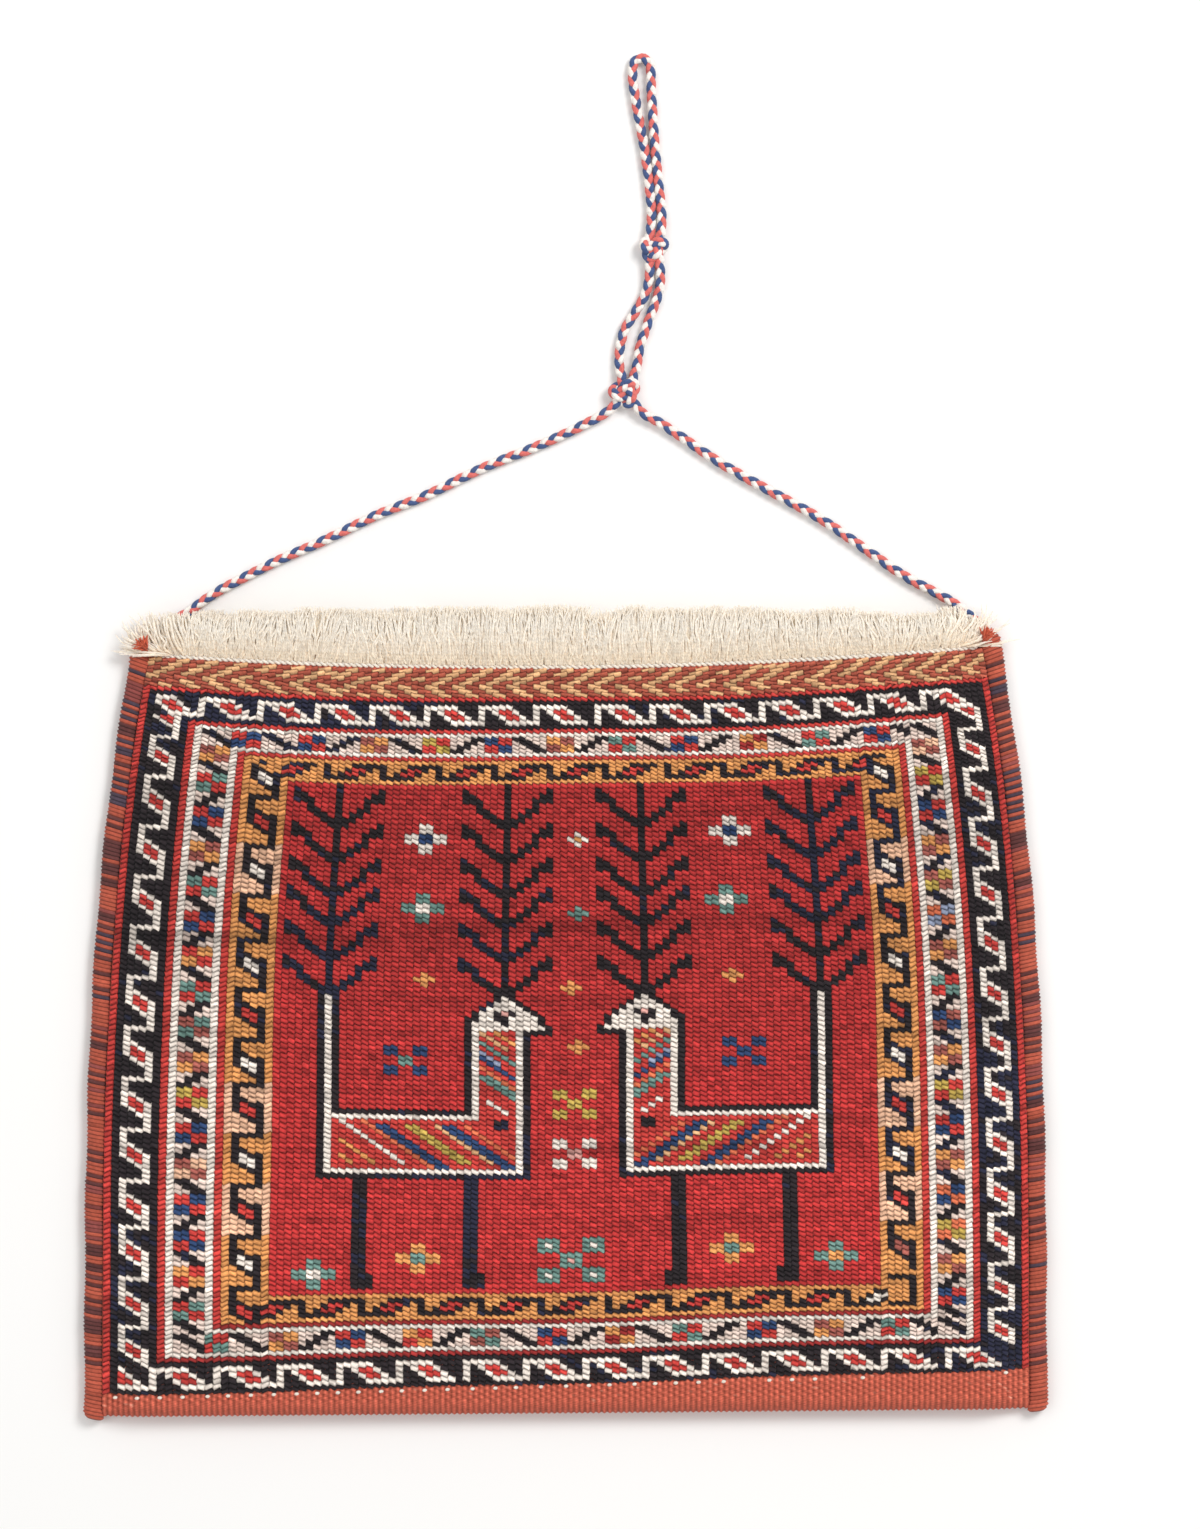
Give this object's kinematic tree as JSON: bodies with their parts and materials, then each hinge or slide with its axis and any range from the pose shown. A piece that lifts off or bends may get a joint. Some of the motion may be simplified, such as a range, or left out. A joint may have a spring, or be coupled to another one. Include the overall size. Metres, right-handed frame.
{
  "type": "kilim bag",
  "caption": "Small flat-woven wool bag lying on its back, with a brushed warp fringe along its mouth, overcast sides and a knotted braided carrying cord.",
  "frame": {"origin": "middle of the bag's box on the surface it lies on, without the cord", "axes": "+X across the bag to the right, +Y from the bottom fold to the mouth, +Z out of the patterned front"},
  "size_m": [0.3468, 0.4922, 0.0124],
  "materials": {
    "sumak_wool": "weft-wrapped wool, matt, crimson field with navy, white, gold, rust and teal motifs",
    "binding_wool": "overcast wool yarn in rust, dark brown and navy",
    "warp_wool": "undyed cream wool, twined and brushed out",
    "rust_wool": "rust-orange wool yarn, wrapped",
    "braided_wool": "braided wool, white, coral red and blue"
  },
  "bodies": {
    "root": {"woven_cloth": "sumak_wool", "left_side_binding": "binding_wool", "right_side_binding": "binding_wool", "front_twining": "warp_wool", "back_twining": "warp_wool", "front_fringe": "warp_wool", "back_fringe": "warp_wool", "left_cord_lashing": "rust_wool", "right_cord_lashing": "rust_wool", "left_corner_tuft": "rust_wool", "right_corner_tuft": "rust_wool", "cord_left_leg": "braided_wool", "cord_right_leg": "braided_wool", "lower_knot": "braided_wool", "cord_left_strand": "braided_wool", "cord_right_strand": "braided_wool", "upper_knot": "braided_wool", "cord_loop": "braided_wool"}
  },
  "joints": []
}
